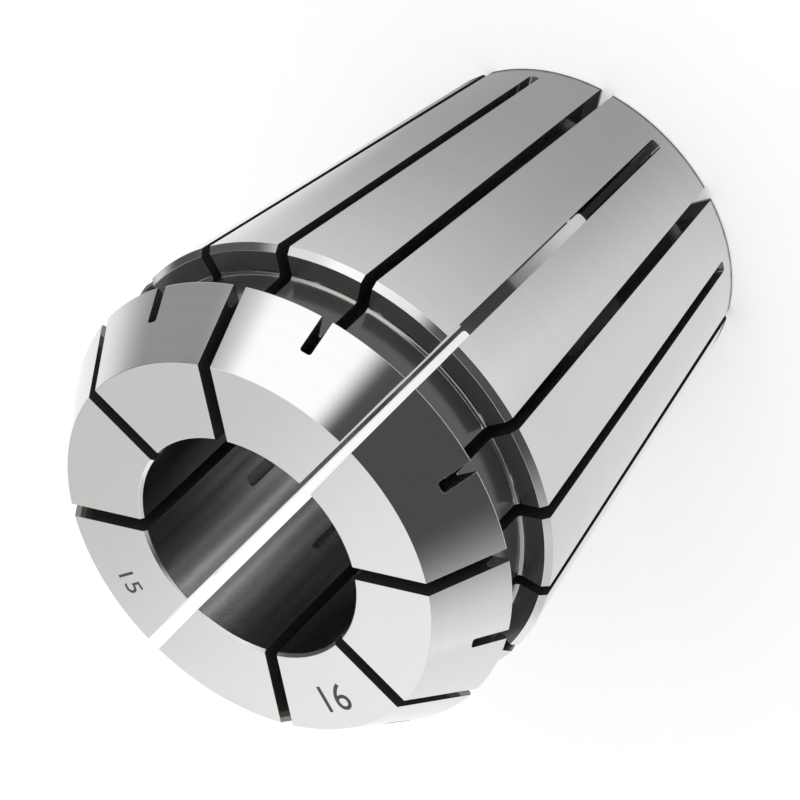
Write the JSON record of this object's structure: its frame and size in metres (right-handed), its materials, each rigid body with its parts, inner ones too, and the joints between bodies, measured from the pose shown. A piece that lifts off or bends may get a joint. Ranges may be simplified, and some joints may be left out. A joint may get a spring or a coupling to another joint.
{
  "type": "er collet",
  "caption": "Round spring collet with a straight bore, a long taper, an extraction groove, a short nose cone and saw slots from both ends.",
  "frame": {"origin": "centre of the rear face, on the axis, where the collet stands", "axes": "+Z along the axis towards the nose and its flat front face; +X through one of the front slots"},
  "size_m": [0.033, 0.033, 0.04],
  "materials": {
    "ground_steel": "hardened spring steel, ground and polished"
  },
  "bodies": {
    "root": {"collet": "ground_steel"}
  },
  "joints": []
}
